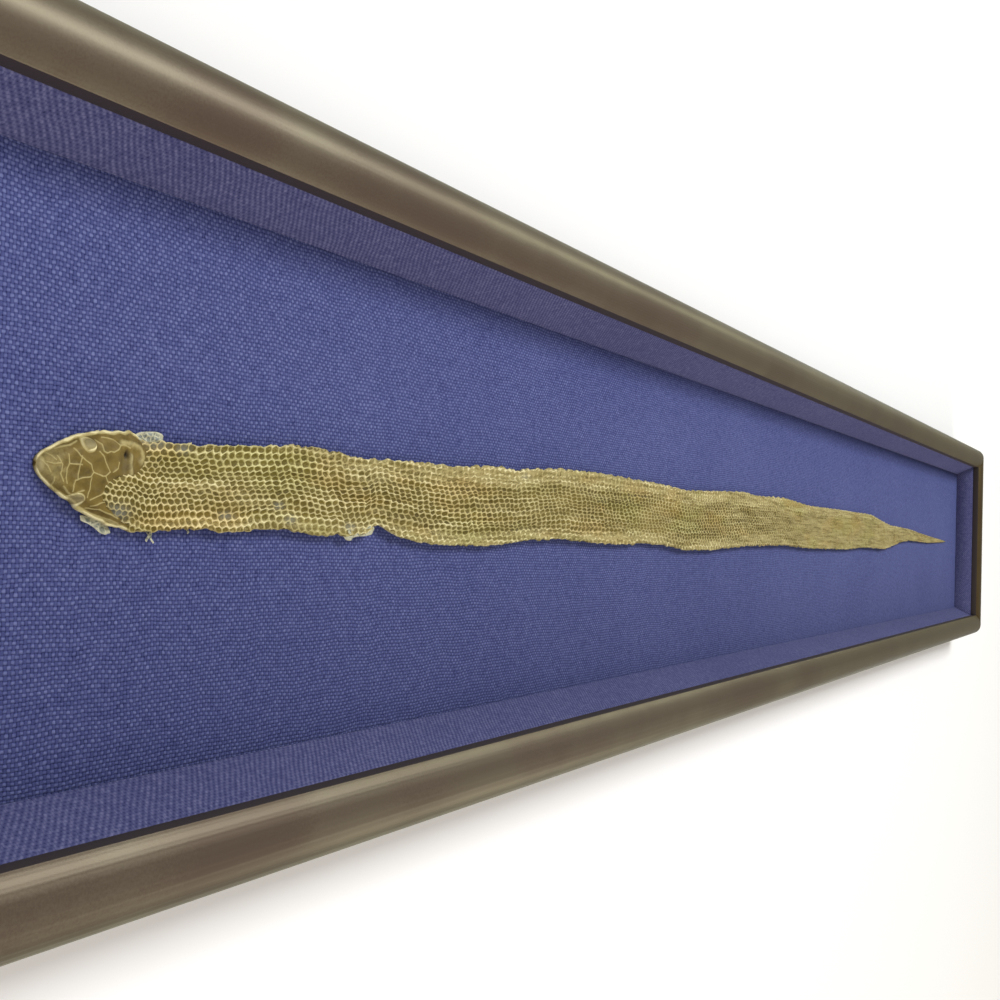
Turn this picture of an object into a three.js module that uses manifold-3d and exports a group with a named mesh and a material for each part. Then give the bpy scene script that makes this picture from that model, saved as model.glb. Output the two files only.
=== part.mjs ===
// A shed snake skin laid out flat in a long, shallow shadow-box frame, front face up.
// Millimetres. +X runs from the snake's head to its tail, +Z comes out of the frame's front.

import * as THREE from 'three';
import { mergeVertices } from 'three/addons/utils/BufferGeometryUtils.js';
import Module from 'manifold-3d';

// Driving dimensions
const frameLength = 1540;
const frameWidth = 220;
const gap = 0.3; // between neighbouring pieces

// Rail moulding: a cushion face that is one arc, a lip below its inner edge, two rebates behind
const cushionRadius = 13.3;
const innerTilt = THREE.MathUtils.degToRad(46); // slope of the face at its inner edge
const outerTilt = THREE.MathUtils.degToRad(80); // slope of the face at its outer edge
const lipHeight = 5.7;
const slipRebate = 8; // how far the lip overhangs the slips
const backLedge = 7.5; // width of the rail behind the back board's rebate

// Recess, from the back of the frame to its front
const backBoardInset = 1.6;
const backBoardThickness = 2.8;
const mountBoardThickness = 4.2;
const wallHeight = 17.4;
const wallFlare = 8.9; // how far the walls lean in between lip and floor

const ledgeZ = backBoardInset + backBoardThickness + gap;
const floorZ = ledgeZ + mountBoardThickness;
const lipZ = floorZ + wallHeight;
const innerEdgeZ = lipZ + lipHeight;
const faceWidth = cushionRadius * (Math.sin(innerTilt) + Math.sin(outerTilt));
const wallBack = faceWidth - slipRebate; // across the rail, from its outer edge
const floorEdge = faceWidth + wallFlare;

// Back board screws
const screwsPerSide = 4;
const screwSpan = 1400; // between the outermost screws of one side
const shankRadius = 1.5;
const shankLength = 11;
const headRadius = 2.8;
const headThickness = 1.0;
const screwAcross = (backLedge + wallBack) / 2;

// Skin stations: x, centre line y, width, height. The first two groups are head and neck.
const skinStations = [
  [-664.5, 2.2, 1.5, 1.6], [-662.5, 2.2, 7, 3.0], [-658, 1.7, 12.5, 4.6], [-650, 1.0, 19.2, 6.8],
  [-640, 0.3, 23.8, 7.6], [-632, -0.6, 25.6, 6.4],
  [-620, -0.5, 24.6, 4.2], [-600, -0.5, 23.8, 3.4],
  [-560, 0.9, 25.6, 3.2], [-500, 0.3, 26.8, 3.2], [-440, 0.2, 30.4, 3.2], [-380, 2.4, 30.8, 3.2],
  [-320, 2.8, 32.4, 3.2], [-220, 1.3, 32.2, 3.2], [-140, 2.2, 33.4, 3.2], [-60, 3.6, 32.2, 3.2],
  [20, 3.4, 31.0, 3.2], [100, 2.1, 30.3, 3.2], [200, 2.2, 29.3, 3.0], [260, 2.1, 27.6, 3.0],
  [300, 0.6, 25.0, 3.0], [345, -0.2, 18.8, 2.8], [390, 1.3, 14.2, 2.6], [450, 1.8, 10.4, 2.4],
  [500, 0.4, 8.4, 2.2], [550, -1.0, 6.6, 2.0], [600, -1.5, 4.2, 1.8], [640, -1.8, 2.2, 1.4],
  [662, -1.9, 0.8, 0.8],
];
const skinCuts = 120; // cross-sections along the body
const skinSides = 16; // corners of each cross-section
const skinSquareness = 0.7; // below 1 the section is fuller than an ellipse

function material(colour, roughness, metalness) {
  return new THREE.MeshStandardMaterial({ color: colour, roughness, metalness });
}

const lacquer = material(0x4c4038, 0.4, 0.3);
const linen = material(0x3d4388, 0.95, 0);
const fibreboard = material(0x8a6f4f, 0.85, 0);
const slough = material(0xa8985c, 0.55, 0);
const steel = material(0xa9a9a6, 0.35, 1);

const wasm = await Module();
wasm.setup();

function toManifold(geometry) {
  const bare = geometry.clone();
  bare.deleteAttribute('normal');
  bare.deleteAttribute('uv');
  const welded = mergeVertices(bare, 1e-4);
  const mesh = new wasm.Mesh({
    numProp: 3,
    vertProperties: new Float32Array(welded.attributes.position.array),
    triVerts: new Uint32Array(welded.index.array),
  });
  return new wasm.Manifold(mesh);
}

function toGeometry(manifold) {
  const mesh = manifold.getMesh();
  const geometry = new THREE.BufferGeometry();
  geometry.setAttribute('position', new THREE.BufferAttribute(new Float32Array(mesh.vertProperties), 3));
  geometry.setIndex(new THREE.BufferAttribute(new Uint32Array(mesh.triVerts), 1));
  geometry.computeVertexNormals();
  return geometry;
}

// Section of a rail: x across it from the frame's outer edge, y up from the frame's back
function railSection() {
  const shape = new THREE.Shape();
  const centreX = cushionRadius * Math.sin(outerTilt);
  const centreY = innerEdgeZ - cushionRadius * Math.cos(innerTilt);
  shape.moveTo(backLedge, 0);
  shape.lineTo(0, 0);
  shape.lineTo(0, centreY + cushionRadius * Math.cos(outerTilt));
  shape.absarc(centreX, centreY, cushionRadius, Math.PI / 2 + outerTilt, Math.PI / 2 - innerTilt, true);
  shape.lineTo(faceWidth, lipZ);
  shape.lineTo(wallBack, lipZ);
  shape.lineTo(wallBack, ledgeZ);
  shape.lineTo(backLedge, ledgeZ);
  shape.closePath();
  return shape;
}

// Section of a slip, in the same coordinates
function slipSection() {
  return new THREE.Shape([
    new THREE.Vector2(wallBack + gap, floorZ + gap),
    new THREE.Vector2(wallBack + gap, lipZ - gap),
    new THREE.Vector2(faceWidth, lipZ - gap),
    new THREE.Vector2(floorEdge, floorZ + gap),
  ]);
}

// A bar of the given section along the frame's -Y side, its ends cut at 45 degrees
function mitredBar(section, length, width) {
  const geometry = new THREE.ExtrudeGeometry(section, { depth: 1, bevelEnabled: false, curveSegments: 24 });
  const position = geometry.attributes.position;
  for (let i = 0; i < position.count; i++) {
    const across = position.getX(i);
    const up = position.getY(i);
    const half = length / 2 - across - gap / 2;
    const end = position.getZ(i) > 0.5 ? 1 : -1;
    position.setXYZ(i, end * half, across - width / 2, up);
  }
  geometry.computeVertexNormals();
  return geometry;
}

function screwPlaces() {
  const places = [];
  for (const side of [-1, 1]) {
    for (let i = 0; i < screwsPerSide; i++) {
      const x = screwSpan * (i / (screwsPerSide - 1) - 0.5);
      places.push([x, side * (frameWidth / 2 - screwAcross)]);
    }
  }
  return places;
}

// Pilot holes in the two long rails, drilled from the ledge that the back board lies against
function drilled(bar) {
  let solid = toManifold(bar);
  const depth = shankLength - backBoardThickness + 2 * gap;
  for (const [x, y] of screwPlaces()) {
    if (y > 0) continue; // the bar is drilled where it lies, on the -Y side
    const bit = new THREE.CylinderGeometry(shankRadius + gap, shankRadius + gap, depth, 20);
    bit.rotateX(Math.PI / 2);
    bit.translate(x, y, ledgeZ - 1 + depth / 2);
    solid = solid.subtract(toManifold(bit));
  }
  return toGeometry(solid);
}

function backBoard() {
  const halfLength = frameLength / 2 - backLedge - gap;
  const halfWidth = frameWidth / 2 - backLedge - gap;
  const outline = new THREE.Shape();
  outline.moveTo(-halfLength, -halfWidth);
  outline.lineTo(halfLength, -halfWidth);
  outline.lineTo(halfLength, halfWidth);
  outline.lineTo(-halfLength, halfWidth);
  outline.closePath();
  for (const [x, y] of screwPlaces()) {
    const hole = new THREE.Path();
    hole.absarc(x, y, shankRadius + gap, 0, 2 * Math.PI, true);
    outline.holes.push(hole);
  }
  const board = new THREE.ExtrudeGeometry(outline, {
    depth: backBoardThickness,
    bevelEnabled: false,
    curveSegments: 10,
  });
  board.translate(0, 0, backBoardInset);
  return board;
}

// Pan head outside, shank up into the rail; the profile runs from the axis to the axis
function screw() {
  const headBottom = backBoardInset - gap - headThickness;
  const headTop = backBoardInset - gap;
  const profile = [
    new THREE.Vector2(0, headBottom),
    new THREE.Vector2(headRadius * 0.7, headBottom),
    new THREE.Vector2(headRadius, headBottom + headThickness * 0.5),
    new THREE.Vector2(headRadius, headTop),
    new THREE.Vector2(shankRadius, headTop),
    new THREE.Vector2(shankRadius, headTop + shankLength - shankRadius),
    new THREE.Vector2(0, headTop + shankLength),
  ];
  const geometry = new THREE.LatheGeometry(profile, 20);
  geometry.rotateX(Math.PI / 2);
  return geometry;
}

// The slough: rings of points round a flattened section, smoothed along the stations
function skin() {
  const line = new THREE.CatmullRomCurve3(skinStations.map(([x, y, width]) => new THREE.Vector3(x, y, width)));
  const rise = new THREE.CatmullRomCurve3(skinStations.map(([x, , , height]) => new THREE.Vector3(x, 0, height)));
  const points = [];
  const faces = [];
  for (let i = 0; i <= skinCuts; i++) {
    const t = (i / skinCuts) ** 1.25; // closer together at the head
    const { x, y, z: width } = line.getPoint(t);
    const height = rise.getPoint(t).z;
    for (let j = 0; j < skinSides; j++) {
      const angle = (2 * Math.PI * (j + 0.5)) / skinSides;
      const across = Math.sign(Math.cos(angle)) * Math.abs(Math.cos(angle)) ** skinSquareness;
      const up = Math.sign(Math.sin(angle)) * Math.abs(Math.sin(angle)) ** skinSquareness;
      points.push(x, y + (width / 2) * across, floorZ + gap + (height / 2) * (1 + up));
    }
  }
  for (let i = 0; i < skinCuts; i++) {
    for (let j = 0; j < skinSides; j++) {
      const a = i * skinSides + j;
      const b = i * skinSides + ((j + 1) % skinSides);
      faces.push(a, b, b + skinSides, a, b + skinSides, a + skinSides);
    }
  }
  const last = skinCuts * skinSides;
  for (let j = 1; j < skinSides - 1; j++) {
    faces.push(0, j + 1, j);
    faces.push(last, last + j, last + j + 1);
  }
  const geometry = new THREE.BufferGeometry();
  geometry.setAttribute('position', new THREE.Float32BufferAttribute(points, 3));
  geometry.setIndex(faces);
  geometry.computeVertexNormals();
  return geometry;
}

function named(name, geometry, look) {
  const mesh = new THREE.Mesh(geometry, look);
  mesh.name = name;
  return mesh;
}

const framed = new THREE.Group();

// Four sides, each a rail with its slip: the long pair first, turned about the frame's centre
const sides = [
  ['bottom', frameLength, frameWidth, 0],
  ['right', frameWidth, frameLength, Math.PI / 2],
  ['top', frameLength, frameWidth, Math.PI],
  ['left', frameWidth, frameLength, -Math.PI / 2],
];
for (const [side, length, width, turn] of sides) {
  const bar = mitredBar(railSection(), length, width);
  const rail = named(`rail_${side}`, length === frameLength ? drilled(bar) : bar, lacquer);
  const slip = named(`slip_${side}`, mitredBar(slipSection(), length, width), linen);
  rail.rotation.z = turn;
  slip.rotation.z = turn;
  framed.add(rail, slip);
}

const mountLength = frameLength - 2 * (wallBack + gap);
const mountWidth = frameWidth - 2 * (wallBack + gap);
const mountBoard = named('mount_board', new THREE.BoxGeometry(mountLength, mountWidth, mountBoardThickness), linen);
mountBoard.position.z = floorZ - mountBoardThickness / 2;
framed.add(mountBoard, named('back_board', backBoard(), fibreboard), named('snake_skin', skin(), slough));

screwPlaces().forEach(([x, y], i) => {
  const fixing = named(`screw_${i + 1}`, screw(), steel);
  fixing.position.set(x, y, 0);
  framed.add(fixing);
});

export default framed;
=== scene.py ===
import bpy
import numpy as np
from mathutils import Matrix, Vector


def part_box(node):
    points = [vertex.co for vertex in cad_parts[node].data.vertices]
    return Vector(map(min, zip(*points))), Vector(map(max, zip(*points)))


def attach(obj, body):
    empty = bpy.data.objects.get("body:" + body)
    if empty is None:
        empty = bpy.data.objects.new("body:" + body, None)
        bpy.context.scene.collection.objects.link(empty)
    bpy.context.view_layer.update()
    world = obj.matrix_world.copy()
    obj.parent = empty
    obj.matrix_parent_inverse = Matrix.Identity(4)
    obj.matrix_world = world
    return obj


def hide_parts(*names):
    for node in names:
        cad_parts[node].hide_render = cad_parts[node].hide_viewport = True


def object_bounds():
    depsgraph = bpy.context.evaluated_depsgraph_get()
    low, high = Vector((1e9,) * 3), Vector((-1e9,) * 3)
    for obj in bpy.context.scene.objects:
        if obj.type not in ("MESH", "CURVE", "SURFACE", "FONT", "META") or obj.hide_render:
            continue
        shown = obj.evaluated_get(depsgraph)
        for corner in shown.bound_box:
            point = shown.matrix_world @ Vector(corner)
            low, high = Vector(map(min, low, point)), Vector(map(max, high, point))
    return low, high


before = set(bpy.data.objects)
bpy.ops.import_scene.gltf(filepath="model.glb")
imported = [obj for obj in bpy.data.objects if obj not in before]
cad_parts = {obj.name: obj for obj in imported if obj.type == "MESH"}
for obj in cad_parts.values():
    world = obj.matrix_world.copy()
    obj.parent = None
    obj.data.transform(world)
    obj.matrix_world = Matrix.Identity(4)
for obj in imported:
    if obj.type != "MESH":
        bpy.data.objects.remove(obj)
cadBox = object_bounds()
mm = 0.001
scene = bpy.context.scene
print("frame loaded:", len(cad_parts), "nodes")


# a material with an empty node tree
def newMaterial(name):
    material = bpy.data.materials.new(name)
    material.use_nodes = True
    material.node_tree.nodes.clear()
    return material


# adds a node, sets its properties, and fills its inputs: a socket is linked, a number or colour is set
def addNode(material, kind, inputs=(), **properties):
    tree = material.node_tree
    node = tree.nodes.new("ShaderNode" + kind)
    for key, value in properties.items():
        setattr(node, key, value)
    for key, value in dict(inputs).items():
        if isinstance(value, bpy.types.NodeSocket):
            tree.links.new(value, node.inputs[key])
        else:
            node.inputs[key].default_value = value
    return node


# one operation on a, and on b and c where it takes them
def mathNode(material, operation, a, b=0.0, c=None, clamp=False):
    inputs = {0: a, 1: b} if c is None else {0: a, 1: b, 2: c}
    return addNode(material, "Math", inputs, operation=operation, use_clamp=clamp).outputs[0]


# a less b
def minus(material, a, b):
    return mathNode(material, "SUBTRACT", a, b)


# a times b, kept from nought to one where it is clamped
def times(material, a, b, clamp=False):
    return mathNode(material, "MULTIPLY", a, b, clamp=clamp)


# a times b plus c
def timesPlus(material, a, b, c, clamp=False):
    return mathNode(material, "MULTIPLY_ADD", a, b, c, clamp)


# one operation on each coordinate of the vectors a and b
def vectorNode(material, operation, a, b):
    return addNode(material, "VectorMath", {0: a, 1: b}, operation=operation).outputs[0]


# a plus the factor times the blend of a and b less a; the plain blend is b
def mixColour(material, factor, a, b, blend="MIX"):
    node = addNode(material, "Mix", {0: factor, 6: a, 7: b}, data_type="RGBA", blend_type=blend)
    return node.outputs[2]


# the colour times the tint, by the factor
def tinted(material, factor, colour, tint):
    return mixColour(material, factor, colour, mixColour(material, 1.0, colour, tint, "MULTIPLY"))


# fractal noise from nought to one, with about scale bumps to the metre
def noise(material, vector, scale, detail=2.0, roughness=0.5):
    inputs = {"Vector": vector, "Scale": scale, "Detail": detail, "Roughness": roughness}
    return addNode(material, "TexNoise", inputs).outputs["Fac"]


# from outLow to outHigh by 3 s s - 2 s s s, where s is the value's share of the way from low to high
def ramp(material, value, low, high, outLow=0.0, outHigh=1.0):
    inputs = {"Value": value, "From Min": low, "From Max": high, "To Min": outLow, "To Max": outHigh}
    return addNode(material, "MapRange", inputs, interpolation_type="SMOOTHSTEP").outputs[0]


# the point in the piece's own space, in metres
def objectPoint(material):
    return addNode(material, "TexCoord").outputs["Object"]


# a principled surface on the output; the bump's height counts in steps of the distance, in metres
def finishMaterial(material, inputs, bump=None, strength=1.0, distance=1.0):
    if bump is not None:
        raised = {"Height": bump, "Strength": strength, "Distance": distance}
        inputs["Normal"] = addNode(material, "Bump", raised).outputs["Normal"]
    shader = addNode(material, "BsdfPrincipled", inputs)
    addNode(material, "OutputMaterial", {"Surface": shader.outputs[0]})
    return material


# gives a piece of the frame one material in place of its own
def dressNode(name, material):
    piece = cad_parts[name]
    piece.data.materials.clear()
    piece.data.materials.append(material)
    return piece


# joins a piece's loose triangles and rounds its edges by arcs of that width
def roundEdges(piece, width, segments):
    weld = piece.modifiers.new("weld", "WELD")
    weld.merge_threshold = 1e-6
    bevel = piece.modifiers.new("bevel", "BEVEL")
    bevel.width = width
    bevel.segments = segments
    bevel.angle_limit = 0.6  # radians; flatter edges stay
    bevel.harden_normals = True
    piece.data.polygons.foreach_set("use_smooth", np.ones(len(piece.data.polygons), bool))


view = {
    "place": (-0.8884, -0.0124, 0.2574),
    "aim": (0.88385, 0.02896, -0.46688),
    "up": (-0.03897, 0.99917, -0.01178),
    "lens": 47.3,  # mm, on a sensor 36 mm wide
}


# the camera's axes are right, which is aim cross up, then right cross aim, and minus aim
def makeCamera():
    data = bpy.data.cameras.new("camera")
    data.lens = view["lens"]
    data.sensor_width = 36
    data.clip_start = 0.01
    camera = bpy.data.objects.new("camera", data)
    scene.collection.objects.link(camera)
    aim = Vector(view["aim"]).normalized()
    right = aim.cross(Vector(view["up"])).normalized()
    up = right.cross(aim)
    turn = Matrix((right, up, -aim)).transposed()
    camera.matrix_world = Matrix.Translation(view["place"]) @ turn.to_4x4()
    scene.camera = camera


studio = {
    "floorHalf": 12.0,
    "floorColour": (0.91, 0.905, 0.895, 1),
    "world": (0.90, 0.89, 0.86, 1),
    "worldStrength": 0.36,
    # name: centre, aim, width, height, watts, colour
    "panels": {
        "key": ((0.2, 1.50, 2.15), (0.3, 0, 0), 2.8, 0.9, 65, (0.95, 0.97, 1)),
        "strip": ((3.65, 1.95, 1.66), (4, 0.03, 0), 4.8, 0.4, 22, (0.97, 0.98, 0.75)),
        "fill": ((1.8, -2.5, 1.2), (0, 0, 0), 1.8, 0.9, 12, (1, 0.93, 0.82)),
        "lowFill": ((0.6, -3, 0.65), (0.2, 0, 0.1), 3.6, 0.5, 56, (1, 0.89, 0.78)),
        "nearFill": ((-2.1, -0.8, 1.5), (-0.6, 0, 0), 1.6, 1, 20, (1, 0.93, 0.88)),
    },
}


# a square floor, and area lights whose -Z axes run from their places to their aims
def makeStudio():
    half = studio["floorHalf"]
    mesh = bpy.data.meshes.new("floor")
    corners = [(-half, -half, 0), (half, -half, 0), (half, half, 0), (-half, half, 0)]
    mesh.from_pydata(corners, [], [(0, 1, 2, 3)])
    floor = bpy.data.objects.new("floor", mesh)
    scene.collection.objects.link(floor)
    paint = newMaterial("floorPaint")
    mesh.materials.append(finishMaterial(paint, {"Base Color": studio["floorColour"], "Roughness": 0.9}))
    for name, (place, aim, width, height, watts, colour) in studio["panels"].items():
        data = bpy.data.lights.new(name, "AREA")
        data.shape = "RECTANGLE"
        data.size = width
        data.size_y = height
        data.energy = watts
        data.color = colour
        panel = bpy.data.objects.new(name, data)
        panel.location = place
        panel.rotation_euler = (Vector(aim) - Vector(place)).to_track_quat("-Z", "Y").to_euler()
        panel.visible_glossy = name != "lowFill"  # the lacquer mirrors the other panels only
        scene.collection.objects.link(panel)
    world = bpy.data.worlds.new("studio")
    world.use_nodes = True
    sky = world.node_tree.nodes["Background"]
    sky.inputs["Color"].default_value = studio["world"]
    sky.inputs["Strength"].default_value = studio["worldStrength"]
    scene.world = world
    scene.view_settings.view_transform = "Standard"


makeCamera()
makeStudio()
print("camera and studio made")


lacquer = {
    "dark": (0.113, 0.078, 0.058, 1),
    "light": (0.152, 0.121, 0.085, 1),
    "sheen": (0.86, 0.94, 0.62, 1),  # tint of the reflections
    "tilt": 0.21,  # slope outwards that is added to the face, so that its highlight lies nearer the opening
    "lip": (0.060, 0.044, 0.043, 1),
    "lipStart": 0.0226,  # from the outer edge, in metres, as are the next ones
    "paintedFarShade": (0.58, 0.48, 0.26, 1),  # painted shade: multiplies the colour towards the tail's end, darker and yellower
    "paintedFarShadeRun": (-0.45, 0.45),  # from where to where along the frame
    "shadow": (0.70, 0.64, 0.66, 1),  # painted shade: multiplies the colour in a band beside the crest
    "shadowBand": (0.0115, 0.0160, 0.0180, 0.0222),
    "paintedEdgeShade": (0.50, 0.46, 0.38, 1),  # painted shade: multiplies the colour near the outer edge, against the reflection of the pale floor there
    "paintedEdgeShadeRun": (0.0020, 0.0095),
    "roughness": 0.38,
    "metallic": 0.35,
    "edge": 0.0004,  # rounding of the edges
    "specks": 1400,  # to the metre
    "clouds": 18,
}


# across is the distance from the frame's outer edge: half the width less the larger of |y| and of |x| less
# the difference of the half length and the half width. Bands of it, and of x, tint a mix of two tones with
# painted shade
def lacquerMaterial():
    m = newMaterial("bronzeLacquer")
    point = objectPoint(m)
    xyz = addNode(m, "SeparateXYZ", {0: point})
    low, high = cadBox
    halfLong, halfWide = (high[0] - low[0]) / 2, (high[1] - low[1]) / 2
    ax = mathNode(m, "ABSOLUTE", xyz.outputs[0])
    ay = mathNode(m, "ABSOLUTE", xyz.outputs[1])
    ax = minus(m, ax, halfLong - halfWide)
    across = minus(m, halfWide, mathNode(m, "MAXIMUM", ax, ay))
    lip = mathNode(m, "GREATER_THAN", across, lacquer["lipStart"])
    specks = noise(m, point, lacquer["specks"], 2, 0.6)
    cloud = noise(m, point, lacquer["clouds"], 3, 0.55)
    tone = timesPlus(m, specks, 0.30, times(m, cloud, 0.70))
    colour = mixColour(m, ramp(m, tone, 0.35, 0.65), lacquer["dark"], lacquer["light"])
    # painted shade in a band beside the crest, mottled by the clouds
    begin, full, fading, gone = lacquer["shadowBand"]
    band = minus(m, ramp(m, across, begin, full), ramp(m, across, fading, gone))
    # painted shade near the outer edge
    paintedEdgeShade = ramp(m, across, *lacquer["paintedEdgeShadeRun"], 0.8, 0.0)
    # painted shade, darker and yellower towards the tail's end
    paintedFarShade = ramp(m, xyz.outputs[0], *lacquer["paintedFarShadeRun"])
    for tint, share in (("shadow", times(m, band, cloud)), ("paintedEdgeShade", paintedEdgeShade), ("paintedFarShade", paintedFarShade)):
        colour = tinted(m, share, colour, lacquer[tint])
    colour = mixColour(m, lip, colour, lacquer["lip"])
    rough = timesPlus(m, specks, 0.12, lacquer["roughness"] - 0.06)
    rough = timesPlus(m, lip, 0.25, rough)
    inputs = {
        "Base Color": colour, "Roughness": rough, "Metallic": lacquer["metallic"], "IOR": 1.5,
        "Specular Tint": lacquer["sheen"],
    }
    # height over the face in metres: the tilt times the distance from the outer edge, and the specks' grain
    height = times(m, mathNode(m, "MINIMUM", across, lacquer["lipStart"]), lacquer["tilt"])
    height = timesPlus(m, specks, 0.000006, height)
    return finishMaterial(m, inputs, height)


paint = lacquerMaterial()
for side in ("top", "bottom", "left", "right"):
    roundEdges(dressNode("rail_" + side, paint), lacquer["edge"], 2)
print("mouldings dressed")


linen = {
    "pitch": 0.00115,
    "dark": (0.009, 0.012, 0.066, 1),
    "mid": (0.063, 0.0745, 0.211, 1),
    "light": (0.166, 0.188, 0.383, 1),
    "paintedWallShade": (0.91, 0.81, 0.73, 1),  # painted shade: multiplies the colour of the walls, making them duller and warmer than the floor
    "wander": 0.0010,  # slow bend of the threads
    "wobble": 0.00022,  # unevenness of a thread's edges
    "diagonal": 0.15,  # how much the weave's diagonals stand out on the walls
    "floorLevels": (0.56, -0.34, -0.20, 0.5),  # tone's gain and start, the v threads' tone, bump
    "wallLevels": (0.20, -0.08, -0.05, 0.2),
    "edge": 0.0005,  # rounding of the boards' edges
    # the directions of the threads, along a board and across it; a wall leans outwards by 0.455 to 0.89
    "sheets": {
        "mount_board": ((1, 0, 0), (0, 1, 0)),
        "slip_top": ((1, 0, 0), (0, 0.455, 0.89)),
        "slip_bottom": ((1, 0, 0), (0, -0.455, 0.89)),
        "slip_left": ((0, 1, 0), (-0.455, 0, 0.89)),
        "slip_right": ((0, 1, 0), (0.455, 0, 0.89)),
    },
}


# plain weave: floor and remainder of each coordinate over the pitch; where the cell's parity is even the
# thread along u is on top, else the one along v. A thread is a dome across and an arch along itself, and has
# its own shade. On the walls the cosine of pi times the sum of both counts adds the diagonals
def linenMaterial(name, u, v, wall):
    m = newMaterial(name)
    point = objectPoint(m)
    placed = point
    for scale, reach in ((60.0, linen["wander"]), (700.0, linen["wobble"])):
        wander = addNode(m, "TexNoise", {"Vector": point, "Scale": scale, "Detail": 1.0})
        drift = vectorNode(m, "SUBTRACT", wander.outputs["Color"], (0.5, 0.5, 0.5))
        drift = addNode(m, "VectorMath", {0: drift, "Scale": 2 * reach}, operation="SCALE").outputs[0]
        placed = vectorNode(m, "ADD", placed, drift)
    counts = []
    for direction in (u, v):
        length = addNode(m, "VectorMath", {0: placed, 1: direction}, operation="DOT_PRODUCT")
        counts.append(mathNode(m, "DIVIDE", length.outputs["Value"], linen["pitch"]))
    cells = [mathNode(m, "FLOOR", c) for c in counts]
    parts = [minus(m, minus(m, c, k), 0.5) for c, k in zip(counts, cells)]
    parity = mathNode(m, "FLOORED_MODULO", mathNode(m, "ADD", *cells), 2.0)
    shares = [times(m, mathNode(m, "ABSOLUTE", p), 2.0) for p in parts]
    sides = [mathNode(m, "POWER", share, 2.6) for share in shares]
    domes = [timesPlus(m, s, -0.85, 1.0) for s in sides]
    arches = [timesPlus(m, d, 0.30, 0.70) for d in domes]
    alongU = times(m, domes[1], arches[0])
    alongV = times(m, domes[0], arches[1])
    height = addNode(m, "Mix", {0: parity, 2: alongU, 3: alongV}).outputs[0]
    shades = []
    for thread, along in ((cells[1], counts[0]), (cells[0], counts[1])):
        ends = {0: times(m, thread, 7.31), 1: times(m, along, 0.3)}
        spot = addNode(m, "CombineXYZ", ends).outputs[0]
        shades.append(noise(m, spot, 1.0, 1, 0.5))
    shade = addNode(m, "Mix", {0: parity, 2: shades[0], 3: shades[1]}).outputs[0]
    slub = noise(m, point, 520.0, 2, 0.6)
    broad = noise(m, point, 9.0, 2, 0.5)
    gap = times(m, *sides)  # the hole where four threads meet, darkened below as painted shade
    # painted shade: the tone follows each thread's dome, darker at its sides, the v threads' sides less so
    dulled = timesPlus(m, alongV, 0.45, 0.45)
    level = addNode(m, "Mix", {0: parity, 2: alongU, 3: dulled}).outputs[0]
    gain, start, difference, strength = linen["wallLevels" if wall else "floorLevels"]
    tone = timesPlus(m, level, gain, start)
    tone = timesPlus(m, gap, -0.25, tone)
    tone = timesPlus(m, parity, difference, tone)
    if wall:
        turn = times(m, mathNode(m, "ADD", *counts), np.pi)
        tone = timesPlus(m, mathNode(m, "COSINE", turn), linen["diagonal"], tone)
    for part, weight in ((shade, 0.50), (slub, 0.38), (broad, 0.14)):
        tone = timesPlus(m, part, weight, tone)
    colour = mixColour(m, ramp(m, tone, 0.02, 0.42), linen["dark"], linen["mid"])
    colour = mixColour(m, ramp(m, tone, 0.40, 0.90), colour, linen["light"])
    # painted shade on the walls
    if wall:
        colour = mixColour(m, 1.0, colour, linen["paintedWallShade"], "MULTIPLY")
    inputs = {
        "Base Color": colour, "Roughness": 0.9, "Specular IOR Level": 0.10,
        "Sheen Weight": 0.06, "Sheen Roughness": 0.5, "Sheen Tint": (0.45, 0.50, 0.95, 1),
    }
    return finishMaterial(m, inputs, height, strength, 0.0004)


for name, (u, v) in linen["sheets"].items():
    cloth = linenMaterial("linen_" + name, u, v, name.startswith("slip"))
    roundEdges(dressNode(name, cloth), linen["edge"], 3)
print("cloth dressed")


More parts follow.
